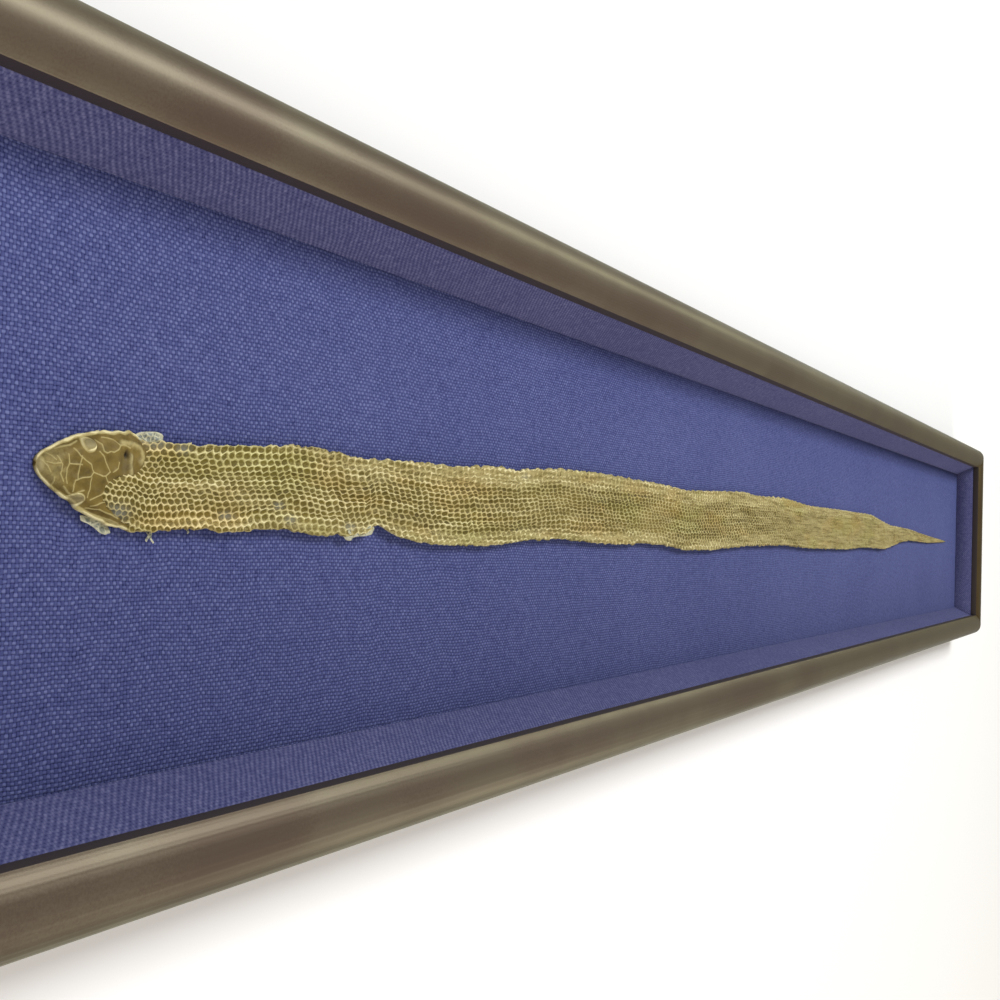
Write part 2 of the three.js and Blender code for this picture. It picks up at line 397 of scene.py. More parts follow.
slough = {
    # x, upper edge, lower edge and, where not the usual one, crown height; in mm, from snout to tail
    "outline": [
        (-660.7, 3.6, 1.6, 1.3), (-660.5, 4.5, 0.6, 2.1), (-660, 5.2, -0.3), (-659.3, 5.7, -1.1, 3.4),
        (-658.2, 6.5, -2.2, 4), (-656.4, 7.5, -3.5, 4.6), (-654.3, 8.5, -4.8, 5), (-651.8, 9.6, -6.3, 5.3),
        (-649.3, 10.5, -8, 5.5), (-646.6, 11.2, -9.1, 5.5), (-642.8, 11.9, -10.4, 5.4),
        (-639.2, 12.3, -11.5, 5.2), (-635.8, 12.6, -12.6, 4.9), (-631.3, 13, -13.4, 4.5),
        (-629.9, 12.5, -13.6, 4.3), (-628.4, 11.5, -13.8, 4.1), (-627.2, 10.6, -13.9, 3.9),
        (-614, 10.8, -12.6, 3.1), (-603, 11, -12.1), (-596.5, 11.5, -13), (-588, 12, -12.8),
        (-572, 13.2, -11.7), (-563, 14.3, -11.6), (-553, 14.4, -12.8), (-545, 14.2, -13.6),
        (-537, 14, -12.7), (-529, 13, -13.7), (-521, 12.8, -12.2), (-516, 12.8, -10.4, 2.6),
        (-512.4, 13, -8.8, 2.4), (-508, 13.2, -10.2, 2.6), (-502, 13.5, -12.5), (-495, 13.8, -13.8),
        (-475, 13.9, -15.3), (-462, 13.8, -15.7), (-440, 15.5, -15.7), (-421, 16.1, -14.8),
        (-412, 15.3, -14.2), (-399, 16.8, -12.9), (-367, 18.7, -12.1), (-328, 19.2, -13.4),
        (-300, 18.8, -13.7), (-262, 18.3, -13), (-240, 17.9, -13.6), (-206, 16.4, -16), (-166, 18, -15.8),
        (-100, 20.3, -13), (-80, 19, -12.6), (-12, 20.1, -11.7), (54, 17.2, -13.2), (145, 17.2, -13.3),
        (172, 17.1, -13.2), (232, 16.9, -11.3), (264, 16.4, -11.6, 2.7), (315, 11.4, -12.2, 2.6),
        (341, 9.2, -10.2, 2.6), (390, 8.4, -5.4, 2.4), (434, 7.6, -3.1, 2.3), (490, 5, -3.6, 2.2),
        (544, 2.6, -4.5, 2), (600, 0.5, -3.5, 1.7), (650, -1.2, -2.5, 1.2), (662, -1.7, -2.1, 0.8),
    ],
    "crown": 2.8,
    "foldRadius": 0.65,
    "headFold": 0.20,  # added to the fold's radius along the head
    "lift": 0.15,  # above the cloth
    "curl": 2.5,  # how far the long edges turn up from the cloth
    "ripple": 0.40,  # height of the top sheet's waves
    "pleat": 0.26,  # height of the lengthwise creases beside the back
    "wander": 0.27,  # raggedness of the edges
    "crownPower": 2.4,  # the higher, the flatter the middle and the steeper the sides
    "headPower": 1.7,  # added to it along the head
}
outline = np.array([(*row, slough["crown"])[:4] for row in slough["outline"]])
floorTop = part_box("mount_board")[1].z / mm


# a sum of nine sines of random direction, length and phase, about one in height
def ripple(x, y, lengthX, lengthY, seed):
    draw = np.random.default_rng(seed)
    turns, phases = draw.uniform(0, 2 * np.pi, (2, 9))
    stretches = draw.uniform(0.6, 1.6, 9)
    total = np.zeros(np.broadcast(x, y).shape)
    for turn, phase, stretch in zip(turns, phases, stretches):
        wave = np.cos(turn) * x / lengthX + np.sin(turn) * y / lengthY
        total = total + np.sin(2 * np.pi * stretch * wave + phase)
    return total / 3.0


# 3 s s - 2 s s s, where s is the value's share of the way from low to high
def smoothStep(value, low, high):
    share = np.clip((value - low) / (high - low), 0, 1)
    return share * share * (3 - 2 * share)


# one on the head and nought behind it, in a straight run
def headShare(x):
    return np.clip((-618 - x) / 14, 0, 1)


# half width, centre line and crown height at x: the outline's straight runs, their corners rounded by a
# three-point average, with a fine wander along each edge
def bodyAt(x):
    reach = np.clip((x - outline[0, 0]) * 0.4, 0, 0.9)

    def read(column):
        return sum(np.interp(x + step * reach, outline[:, 0], outline[:, column]) for step in (-1, 0, 1)) / 3

    rag = slough["wander"] * np.clip((x + 650) / 20, 0, 1) * np.clip((640 - x) / 200, 0.1, 1)
    upper = read(1) + rag * (ripple(x, 0 * x, 9, 9, 11) + 0.6 * ripple(x, 0 * x, 3.6, 3.6, 13))
    lower = read(2) + rag * (ripple(x, 0 * x, 8, 8, 12) + 0.6 * ripple(x, 0 * x, 3.2, 3.2, 14))
    return (upper - lower) / 2, (upper + lower) / 2, read(3)


# the flat part's half width, the fold's radius, the centre line and the crown height at x
def foldAt(x):
    half, centre, crown = bodyAt(x)
    radius = slough["foldRadius"] + slough["headFold"] * headShare(x) * np.clip(half / 6, 0, 1)
    radius = np.minimum(radius, half * 0.6)
    return half - radius, radius, centre, crown


# half of the way round the tube
def halfGirth(x):
    flat, radius, _, _ = foldAt(x)
    return 2 * flat + np.pi * radius


# a point of the flattened tube: across is the distance over the skin from the middle of the back. The top
# rises to its crown as one less a power of its share of the half width, the fold is a half circle, and the
# rest lies flat; all turn up by the cube of the share of the breadth; out moves the point outwards
def tubePoint(x, across, out=0.0):
    flat, radius, centre, crown = foldAt(x)
    side = np.where(across < 0, -1.0, 1.0)
    run = np.abs(across)
    share = np.clip(run / np.maximum(flat, 1e-6), 0, 1)
    head = headShare(x)
    power = slough["crownPower"] + slough["headPower"] * head
    swell = np.maximum(crown - 2 * radius, 0)
    angle = np.clip((run - flat) / radius, 0, np.pi)
    under = np.maximum(run - flat - np.pi * radius, 0)
    y = np.where(run < flat, run, flat + radius * np.sin(angle) - under)
    z = radius + radius * np.cos(angle) + swell * (1 - share ** power)
    calm = (1 - head) * np.clip((650 - x) / 250, 0.15, 1) * (1 - share ** 4) * (angle <= 0)
    wave = ripple(x, y * side, 46, 15, 21) + 0.6 * ripple(x, y * side, 17, 7, 22)
    pleat = ripple(x, y * side, 95, 5, 23) * smoothStep(share, 0.2, 0.5)
    z = z + calm * (slough["ripple"] * wave + slough["pleat"] * pleat)
    breadth = flat + radius
    curl = slough["curl"] * (1 - 0.4 * head) * np.clip(breadth / 8, 0, 1)
    z = z + curl * np.clip(y / breadth, 0, 1) ** 3
    steep = power * swell * share ** (power - 1) / np.maximum(flat, 1e-6)
    slope = np.where(angle > 0, angle, np.arctan(steep))
    y = y + out * np.sin(slope)
    return np.stack([x + 0 * y, centre + side * y, floorTop + slough["lift"] + z + out * np.cos(slope)], -1)


# distance from each point to the nearest run of an open line
def lineDistance(x, y, line):
    ends = np.array(line, float)
    start, step = ends[:-1], np.diff(ends, axis=0)
    dx, dy = x[..., None] - start[:, 0], y[..., None] - start[:, 1]
    share = np.clip((dx * step[:, 0] + dy * step[:, 1]) / (step ** 2).sum(1), 0, 1)
    return np.hypot(dx - share * step[:, 0], dy - share * step[:, 1]).min(-1)


# a soft round spot: e to the power of minus the sum of the squared shares of its two radii
def spotAt(x, y, spot):
    cx, cy, rx, ry = spot
    return np.exp(-((x - cx) / rx) ** 2 - ((y - cy) / ry) ** 2)


# how far each point is inside a closed outline, negative outside: its distance to the line, signed by
# the parity of the runs that a ray crosses
def insideDistance(x, y, corners):
    loop = np.array(list(corners) + [corners[0]], float)
    x0, y0, x1, y1 = loop[:-1, 0], loop[:-1, 1], loop[1:, 0], loop[1:, 1]
    py = y[..., None]
    crosses = (y0 > py) != (y1 > py)
    meets = x0 + (py - y0) * (x1 - x0) / np.where(y1 == y0, 1e-9, y1 - y0)
    inside = ((x[..., None] < meets) & crosses).sum(-1) % 2 == 1
    return np.where(inside, 1, -1) * lineDistance(x, y, loop)


def makePiece(name, points, faces, attributes, material):
    mesh = bpy.data.meshes.new(name)
    mesh.from_pydata((points * mm).tolist(), [], [f for group in faces for f in group.tolist()])
    mesh.polygons.foreach_set("use_smooth", np.ones(len(mesh.polygons), bool))
    for key, values in attributes.items():
        layer = mesh.attributes.new(key, "FLOAT", "POINT")
        layer.data.foreach_set("value", np.asarray(values, np.float32).ravel())
    mesh.materials.append(material)
    mesh.update()
    piece = bpy.data.objects.new(name, mesh)
    scene.collection.objects.link(piece)
    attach(piece, "root")
    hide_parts("snake_skin")
    return piece


plates = {
    # the edge of the large head plates, where the net of small scales begins
    "border": [
        (-672, 24), (-630, 20), (-627.4, 10.9), (-625.3, 7.2), (-626.4, 4.6), (-629.5, 1.5), (-634.5, 0.8),
        (-639.6, -0.6), (-641.6, -2.2), (-643, -4.6), (-640.6, -7), (-637, -9.6), (-631.5, -11.6),
        (-628, -20), (-672, -20),
    ],
    # lines where plates meet, pale and raised
    "seams": [
        [(-652.1, 6.7), (-650.5, 4.9), (-648.5, 3.8), (-647, 3), (-646.6, 1.8), (-646, 1.1)],
        [(-646, 1.1), (-647.2, -0.1), (-649.9, -0.5), (-652, -1.2), (-652.1, -2.5), (-651.9, -3.9)],
        [(-646.7, -0.1), (-647.2, -1.8), (-647.3, -3.7), (-647.5, -5.2)],
        [(-646, 1.1), (-642.8, 0.3), (-641.8, 0.4), (-640.2, 1.5), (-642, 3.8), (-642.6, 5.4),
         (-644.1, 6.5)],
        [(-641.8, 0.4), (-641.1, -0.8), (-640.4, -1.3), (-641.3, -2.7), (-642.9, -4.2), (-646.4, -5.8)],
        [(-642.6, 6.6), (-641.6, 6.2), (-640, 6.8), (-638.6, 6.7), (-637, 7.5), (-636, 8.6)],
        [(-642.4, 10.1), (-640.8, 10.2), (-638.4, 9.9), (-636.3, 8.6), (-635, 8.7), (-632.5, 8.1)],
        [(-655.6, -3.6), (-653, -5.2), (-649.8, -6.9), (-645.9, -8.5), (-642, -9.8), (-637.2, -11.2),
         (-632.1, -12.3)],
        [(-645.5, -7.3), (-642.2, -6.4), (-640, -5.8)],
        [(-646.4, -7.9), (-642.6, -8.1), (-639.1, -9), (-635.7, -10.1)],
        [(-643.6, -9.4), (-639.6, -10.2), (-634.8, -11.4)],
        [(-657.3, -0.7), (-656.6, -2.8), (-655.8, -3.9)],
    ],
    "faintSeams": [
        [(-650, 4.9), (-650.5, 3.2), (-651, 0.8), (-651.4, -1.1)],
        [(-654, 5.1), (-653.8, 2.8), (-650, 2.8)],
        [(-653.8, 2.8), (-654.3, 1.4), (-654.5, -0.5), (-653.9, -2.1)],
        [(-654.5, -2.7), (-652.9, -4), (-651.3, -5.1)],
        [(-660.6, 3.5), (-659.1, 1.8), (-658.3, 0.4)],
        [(-659.2, 5.2), (-657.3, 3.5)],
        [(-639.2, 1.5), (-637.2, 2.6), (-637, 4.1)],
        [(-651.3, -4.4), (-650.1, -3.9), (-648.8, -3.6)],
        [(-656.5, 6.4), (-653, 7.4), (-650.4, 8.6)],
        [(-657, 4.6), (-655.6, 2.4), (-656.2, 0.2), (-655, -1.6)],
        [(-659.6, 3), (-658, 2.6), (-656.2, 2.8)],
        [(-653, 9.2), (-650.2, 9.3), (-648, 10.4)],
        [(-644.6, 9.4), (-642.9, 8.4), (-642.6, 6.6)],
        [(-637, -2.4), (-635.6, -4.2), (-636.4, -6)],
    ],
    "eyes": [(-647.2, 8.1, 2, 1.75), (-650.4, -6.05, 2.1, 1.65)],  # x, y, half length, half width
    "eyeRise": 1.2,
    "seamWidth": 0.17,
    "seamRise": 0.14,
    # crumpled folds behind the plates, then spots: x, y, radius along and across
    "pinch": [(-632.1, 6.0), (-632.3, 3.9), (-631.8, 0.6)],
    "crest": [(-635.4, 9.4), (-631.2, 9.2), (-628.2, 8.6), (-626.9, 6.0), (-628.2, 4.6)],
    "hollow": (-633.7, 6.5, 0.7, 1.1),
    "dip": (-634.2, 3.4, 1.3, 2.6),
    "darkPatch": (-637.2, 0.1, 2.2, 0.9),
    # paleness: 0.6 is the colour of a slope, 1.15 and more that of a rim
    "seamPale": 0.66,
    "edgePale": 1.12,
    "ringPale": 0.95,
    "lidPale": 1.6,
    "capPale": 0.34,
    "capThin": 0.40,  # how much shows through the caps
    "rear": -622.0,
    "steps": 190,  # rings from the snout to the rear
    "ring": (128, 8, 6),  # points over the top, round one fold, and from it to the belly's middle
}


# the head: rings round the flattened tube from the snout to the neck, moved outwards by the seams, the eye
# caps and the crumpled folds at the back, and inwards where the net of small scales covers it. Seams and
# folds are bells, e to the power of minus the squared share of their width; a cap is half an ellipsoid
def makeHead(material):
    steps = plates["steps"]
    top, fold, belly = plates["ring"]
    x = outline[0, 0] + (plates["rear"] - outline[0, 0]) * np.linspace(0, 1, steps) ** 1.3
    # shares of the top, of the fold and of the belly that each point of a ring has gone over
    order = np.arange(top // 2 + fold + belly + 1)
    half = np.stack([order / (top // 2), (order - top // 2) / fold, (order - top // 2 - fold) / belly], 1)
    half = np.clip(half, 0, 1)
    shares = np.concatenate([-half[:0:-1], half[:-1]])
    flat, radius, _, _ = foldAt(x)
    across = flat[:, None] * (shares[:, 0] + shares[:, 2]) + np.pi * radius[:, None] * shares[:, 1]
    x = np.repeat(x[:, None], len(shares), 1)
    bare = tubePoint(x, across)
    px, py = bare[..., 0], bare[..., 1]
    upper = smoothStep(halfGirth(x) * 0.56 - np.abs(across), -1.0, 1.0)  # nought on the underside

    seams = np.min([lineDistance(px, py, line) for line in plates["seams"]], 0)
    faint = np.min([lineDistance(px, py, line) for line in plates["faintSeams"]], 0)
    width = plates["seamWidth"]
    seam = np.maximum(np.exp(-(seams / width) ** 2), 0.85 * np.exp(-(faint / (1.2 * width)) ** 2))
    plate = smoothStep(np.minimum(seams, faint + 0.4), 0.2, 1.6)
    edge = smoothStep(np.abs(across), flat[:, None] - 0.4, flat[:, None] + 0.6)
    out = plates["seamRise"] * seam - 0.12 * plate + 0.10 * ripple(px, py, 5, 4, 31)
    edgePale = plates["edgePale"] + 0.35 * ripple(px, py, 5, 3, 33)
    rim = np.maximum(plates["seamPale"] * seam, edgePale * edge)
    rim = np.maximum(rim, 0.30 * smoothStep(-px, 650, 659))  # the snout is paler
    # painted light: the snout's tip is paler still, against the shade on its steep front
    rim = np.maximum(rim, 0.75 * smoothStep(-px, 659.2, 660.2))
    thin = 0 * px
    rise = 0 * px
    for cx, cy, length, height in plates["eyes"]:
        span = np.hypot((px - cx) / length, (py - cy) / height)
        ring = np.exp(-((span - 1) / 0.17) ** 2)
        cap = smoothStep(1.05 - span, 0, 0.4)
        below = 0.85 * (cy - py) / height + 0.5 * (px - cx) / length
        lid = np.exp(-((span - 0.78) / 0.22) ** 2) * smoothStep(below, 0.3, 0.7)  # a pale crescent
        rise = rise + plates["eyeRise"] * np.sqrt(np.clip(1 - span ** 2, 0, 1)) + 0.2 * ring
        rim = np.maximum(rim * (1 - cap), np.maximum(plates["ringPale"] * ring, plates["lidPale"] * lid))
        rim = np.maximum(rim, plates["capPale"] * cap)
        thin = np.maximum(thin, plates["capThin"] * cap * (1 - lid))
    pinch = np.exp(-(lineDistance(px, py, plates["pinch"]) / 0.75) ** 2)
    crest = np.exp(-(lineDistance(px, py, plates["crest"]) / 0.9) ** 2)
    hollow, dip, darkPatch = (spotAt(px, py, plates[key]) for key in ("hollow", "dip", "darkPatch"))
    out = out + 0.40 * pinch + 0.40 * crest - 0.9 * hollow - 0.35 * dip
    rim = np.maximum(rim, np.maximum(0.45 * pinch, 0.50 * crest))
    thin = np.maximum(thin, 0.30 * np.maximum(pinch, 0.7 * dip))
    blots = 0.22 * smoothStep(ripple(px, py, 4.6, 3.4, 34), 0.5, 1.3)
    # painted shade: the hollow is darkened to near black; the dark patch and the blots darken the skin less
    dark = np.maximum(1.1 * hollow, 0.45 * darkPatch) + blots * (1 - edge) * (1 - seam)
    buried = smoothStep(-insideDistance(px, py, plates["border"]), -0.1, 0.9)
    out = out * upper - 1.1 * buried * upper
    points = tubePoint(x, across, out)
    points[..., 2] += rise * upper

    count = len(shares)
    ring = np.arange(count)
    after = (ring + 1) % count
    base = (np.arange(steps - 1) * count)[:, None]
    quads = [base + ring, base + count + ring, base + count + after, base + after]
    quads = np.stack(quads, -1).reshape(-1, 4)
    snout = points[0].mean(0) + (-0.1, 0, 0)
    nape = points[-1].mean(0)
    last = (steps - 1) * count
    tips = steps * count + np.array([0, 1])
    fans = np.concatenate([
        np.stack([np.full(count, tips[0]), ring, after], 1),
        np.stack([np.full(count, tips[1]), last + after, last + ring], 1),
    ])
    everyPoint = np.concatenate([points.reshape(-1, 3), [snout, nape]])
    tone = 0.5 + 0.8 * ripple(px, py, 7, 5, 32) - 0.9 * plate
    layers = {"rim": rim * upper, "thin": thin, "dark": dark, "tone": tone, "plate": 1 + 0 * px}
    attributes = {key: np.append(values.ravel(), [0, 0]) for key, values in layers.items()}
    makePiece("skinHead", everyPoint, [quads, fans], attributes, material)


nets = {
    "skinBody": {
        "rows": 21, "start": -650, "end": 372, "seed": 41,
        # pitch along the body, from row to row, and how far each row slides on the last, at x
        "length": [(-650, 2.1), (-622, 2.6), (-600, 3.05), (-560, 3.6), (-500, 4), (-440, 4.25),
                   (-350, 4.5), (200, 4.4), (372, 3.6)],
        "width": [(-650, 1.48), (-610, 1.58), (-560, 1.70), (-500, 1.74), (-420, 1.70), (0, 1.72),
                  (372, 1.4)],
        "slide": [(-650, 0), (-600, 0.75), (-500, 1.30), (-350, 1.45), (-150, 0.8), (50, -0.4), (220, 0.3),
                  (372, 0)],
    },
    "skinTail": {
        "rows": 11, "start": 366, "end": 661.6, "seed": 43,
        "length": [(366, 3.6), (480, 3.2), (600, 2.6), (662, 1.8)],
        "width": [(366, 1.35), (480, 1.3), (600, 1.1), (662, 0.6)],
        "slide": [(366, 0), (450, 0.3), (662, 0)],
    },
}
netShape = {
    "zigzag": 0.15,  # how far the corners stand off a row's edge, in row widths
    "rise": 0.40,  # height of the rims over the floors
    "floor": (0.70, 0.61),  # shares of each scale's length and width that its sunk floor takes
    "wall": 0.62,  # height of the rims across the body, against those along it
    "round": 2.0,  # power of the floor's rounded outline, 2 for an ellipse
    "narrow": 0.88,  # width of the rows along the middle of the back, against the mean
    "veil": 0.36,  # how much paler the floors are beside the back
    "girth": 0.92,  # largest share of the way round that the small scales take
    "strays": (0.06, 0.08, 0.06),  # random shifts of corners along and across, and of floors
    "sizes": (0.86, 1.10),  # the smallest and the largest floor against the mean
    # runs of x, in mm, along which the net changes
    "doubled": (-640, -440),  # the sheet beside the back grows double
    "even": (-450, -100),  # floors grow wider and rims alike
    "fade": (-560, -300),  # rims lose some of their paleness
    "faint": (-120, 60),  # the scales stand out less in tone
}
# thin spots where the cloth shows through: x, y, radius along and across
thinSpots = [
    (-567.5, -4.6, 2.6, 1.1), (-561, -8.6, 2.8, 1.2), (-591.5, -8.2, 3, 1), (-530, -10, 3.5, 1.2),
    (-636.6, -8.8, 4.4, 2.1), (-622, 10.6, 5, 1.6), (-611, 9.6, 3, 1.2), (-402, 13.5, 4, 1.2),
]


# a net of staggered scales on the flattened tube, closed underneath by wide belly scales. Corners lie on the
# lines between rows, by turns nearer the row above and the row below, and each row slides along the body;
# twelve points go round a scale, and a smaller ring inside them is its sunk floor, rounded by dividing each
# point by the root of the sum of its shares' powers
def makeNet(name, net, material):
    rows, seed = net["rows"], net["seed"]
    strayX, strayOver, strayFloor = netShape["strays"]
    sides = 12  # points round a scale
    draw = np.random.default_rng(seed)

    def read(key, x):
        return np.interp(x, *np.transpose(net[key]))

    fine = np.linspace(net["start"], net["end"], 4000)
    pace = 1 / read("length", fine)
    counted = np.concatenate([[0], np.cumsum((pace[1:] + pace[:-1]) / 2 * np.diff(fine))])
    columns = int(counted[-1])
    corners = 2 * columns + 2  # along one line
    k = np.arange(corners)
    b = np.arange(rows + 1)[:, None]
    odd = (k[None] + b) % 2
    place = k / (corners - 1) * counted[-1]
    inner = np.minimum(k, corners - 1 - k)[None] > 0
    even = np.interp(place, counted, fine)[None]  # x of the corners before rows slide
    taper = np.clip(np.minimum(even - net["start"], net["end"] - even) / 45, 0, 1)
    slide = read("slide", even) * taper * (b - odd + 0.5 - rows / 2)
    sway = 0.07 * ripple(place[None] * 4.0, b * 1.6, 30, 8, seed + 1)
    sway = sway + draw.uniform(-strayX, strayX, odd.shape)
    x = even + inner * (slide + sway * read("length", even))
    width = read("width", x)
    level = b - rows / 2 + netShape["zigzag"] * (1 - 2 * odd)
    level = level + draw.uniform(-strayOver, strayOver, odd.shape)
    level = level + 0.16 * ripple(x, b * 1.6, 30, 9, seed + 2)
    level = level + 0.22 * ripple(x, b * 1.6, 95, 14, seed + 3)
    narrow = netShape["narrow"]
    level = level * (narrow + (1.08 - narrow) * (2 * level / rows) ** 2)
    widest = 1.12 * rows / 2
    width = np.minimum(width, netShape["girth"] * halfGirth(x) / widest)
    over = level * width
    # a line between rows holds its corners and the points halfway between them
    along = 2 * corners - 1
    lineX, lineOver = np.zeros((rows + 1, along)), np.zeros((rows + 1, along))
    for whole, part in ((lineX, x), (lineOver, over)):
        whole[:, ::2] = part
        whole[:, 1::2] = (part[:, 1:] + part[:, :-1]) / 2
    j = np.arange(rows)[:, None]
    foot = 2 * np.arange(columns + 1)[None] + j % 2  # the corner below each wall between two scales of a row
    wallX = (x[j, foot] + x[j + 1, foot]) / 2
    wallOver = (over[j, foot] + over[j + 1, foot]) / 2
    wallStart = (rows + 1) * along
    gridX = np.concatenate([lineX.ravel(), wallX.ravel()])
    gridOver = np.concatenate([lineOver.ravel(), wallOver.ravel()])

    j, i = np.repeat(np.arange(rows), columns), np.tile(np.arange(columns), rows)
    first = 2 * (2 * i + j % 2)
    wall = wallStart + j * (columns + 1) + i
    around = [j * along + first + n for n in range(5)] + [wall + 1]
    around += [(j + 1) * along + first + n for n in range(4, -1, -1)] + [wall]
    corner = np.stack(around, 1)
    cells = len(corner)
    cornerX, cornerOver = gridX[corner], gridOver[corner]
    middleX = (cornerX[:, 5] + cornerX[:, 11])[:, None] / 2
    middleOver = (cornerOver[:, 2] + cornerOver[:, 8])[:, None] / 2
    halfLong = (cornerX[:, 5] - cornerX[:, 11])[:, None] / 2
    halfWide = (cornerOver[:, 8] - cornerOver[:, 2])[:, None] / 2
    shareX = (cornerX - middleX) / halfLong
    shareOver = (cornerOver - middleOver) / halfWide
    power = netShape["round"]
    reach = 1 / (np.abs(shareX) ** power + np.abs(shareOver) ** power) ** (1 / power)
    reach = reach * draw.uniform(*netShape["sizes"], (cells, 1))
    offset = draw.uniform(-strayFloor, strayFloor, (2, cells, 1))
    change = 0.10 * smoothStep(middleX, *netShape["even"])
    long, wide = netShape["floor"]
    floorX = middleX + halfLong * ((long - change) * shareX * reach + offset[0])
    floorOver = middleOver + halfWide * ((wide + change) * shareOver * reach + offset[1])

    # beside the back the sheet is doubled and pale, its scales stand out less, and some rows are paler
    spread = np.abs(gridOver + 1.5) / np.maximum(halfGirth(gridX) / 2, 1e-6)
    veil = smoothStep(spread + 0.12 * ripple(gridX, gridOver, 140, 5, seed + 4), 0.38, 0.80)
    veil = veil * smoothStep(gridX, *netShape["doubled"]) * (gridX < 400)
    veil = np.maximum(veil, 0.7 * smoothStep(ripple(gridX, gridOver, 110, 5, seed + 5), 0.7, 1.5))
    faint = smoothStep(gridX, *netShape["faint"]) * (1 - 0.7 * smoothStep(spread, 0.5, 0.85))
    veil = np.maximum(veil, 0.8 * faint)
    crumple = veil * (1 - 0.6 * faint) * draw.normal(0, 0.32, gridX.shape)
    streak = ripple(gridX, gridOver, 130, 3.4, seed + 6)
    rise = netShape["rise"] * np.clip(read("width", gridX) / 1.5, 0.3, 1)
    rise = rise * (1 - 0.4 * veil) * (1 + 0.3 * streak)
    fade = smoothStep(gridX, *netShape["fade"])
    wallCrest = netShape["wall"] + 0.35 * smoothStep(gridX, *netShape["even"])
    crest = np.where(np.arange(gridX.size) < wallStart, 1, wallCrest)
    cellVeil, cellRise, cellStreak, cellFaint = (
        values[corner].mean(1, keepdims=True) for values in (veil, rise, streak, faint))
    cellRise = cellRise * draw.uniform(0.8, 1.15, (cells, 1))
    cellTone = (draw.normal(0, 0.5, (cells, 1)) + 0.7 * cellStreak) * (1 - 0.8 * cellFaint)
    cellVeil = np.maximum(cellVeil, 0.9 * cellFaint)
    ones = np.ones((1, sides))
    lineOut = crest * rise * draw.uniform(0.75, 1.2, gridX.shape)
    lineRim = crest * (1 + 0.2 * streak) * (1 - 0.20 * fade - 0.32 * faint) + crumple

    # the belly: two lines on each side and the keel, every other stretch of them raised
    side = np.array([1.0, -1.0])[:, None, None]
    edges = np.stack([lineOver[-1], lineOver[0]])[:, None]
    edgeX = np.stack([lineX[-1], lineX[0]])[:, None]
    share = np.array([0.34, 0.67])[None, :, None]
    bellyX = edgeX + 0 * share
    bellyOver = edges + (side * halfGirth(edgeX) - edges) * share
    keelX = (lineX[0] + lineX[-1]) / 2
    ridged = np.arange(along) % 4 // 2
    parts = [  # x, across, out, rim, tone
        (gridX, gridOver, lineOut, lineRim, draw.normal(0, 0.35, gridX.size)),
        (floorX, floorOver, 0.06 * cellRise * ones, netShape["veil"] * cellVeil * ones, cellTone * ones),
        (bellyX, bellyOver, 0 * bellyX + 0.16 * ridged, 0 * bellyX + 0.6 * ridged, 0 * bellyX),
        (keelX, halfGirth(keelX), 0.16 * ridged, 0.6 * ridged, 0 * keelX),
    ]
    allX, allOver, out, rim, tone = (np.concatenate([part[n].ravel() for part in parts]) for n in range(5))
    bare = tubePoint(allX, allOver)
    flat, radius, _, _ = foldAt(allX)
    run = np.abs(allOver)
    hem = smoothStep(run, flat + 0.35, flat + 0.9)  # the fold's outer side, pale and smooth
    hem = hem * (1 - smoothStep(run, flat + 2.2 * radius, flat + 3.1 * radius))
    out = out * (1 - 0.7 * hem) + 0.12 * hem
    rim = np.maximum(rim, hem * (0.80 + 0.25 * ripple(allX, allOver, 12, 5, seed + 7)))
    upper = run < halfGirth(allX) * 0.5
    onHead = smoothStep(insideDistance(bare[:, 0], bare[:, 1], plates["border"]), -0.2, 0.9)
    out = out - 1.3 * onHead * np.where(upper, 1, 0.2)
    points = tubePoint(allX, allOver, out)
    thin = np.max([spotAt(bare[:, 0], bare[:, 1], spot) for spot in thinSpots], 0)

    # faces: slopes between each scale's outline and its floor, floors, then the ends and the belly
    floorRing = gridX.size + np.arange(cells * sides).reshape(cells, sides)
    turn = np.roll(np.arange(sides), -1)
    slopes = np.stack([corner, corner[:, turn], floorRing[:, turn], floorRing], -1).reshape(-1, 4)
    # the half scales that the stagger leaves at the ends of the rows
    j = np.arange(1, rows, 2)
    left = [j * along + n for n in range(3)] + [wallStart + j * (columns + 1)]
    left += [(j + 1) * along + n for n in (2, 1, 0)]
    j = np.arange(0, rows, 2)
    right = [(j + 1) * along - n for n in (3, 2, 1)] + [(j + 2) * along - n for n in (1, 2, 3)]
    right += [wallStart + j * (columns + 1) + columns]
    m = np.arange(along)
    belly = gridX.size + sides * cells
    lines = np.stack([rows * along + m, belly + m, belly + along + m, belly + 4 * along + m,
                      belly + 3 * along + m, belly + 2 * along + m, m])
    strips = np.stack([lines[:-1, :-1], lines[:-1, 1:], lines[1:, 1:], lines[1:, :-1]], -1).reshape(-1, 4)
    # the loops that close both ends
    startLoop, endLoop = [], []
    for j in range(rows):
        startLoop += [j * along] + ([wallStart + j * (columns + 1)] if j % 2 == 0 else [])
        endLoop += [j * along + along - 1] + ([wallStart + j * (columns + 1) + columns] if j % 2 else [])
    startLoop += [rows * along] + lines[1:-1, 0].tolist()
    endLoop += [rows * along + along - 1] + lines[1:-1, -1].tolist()
    faces = [slopes, floorRing, np.stack(left, 1), np.stack(right, 1), strips]
    faces += [np.array([startLoop[::-1]]), np.array([endLoop])]
    attributes = {"rim": rim, "tone": tone, "thin": thin, "dark": 0 * rim, "plate": 0 * rim}
    makePiece(name, points, faces, attributes, material)


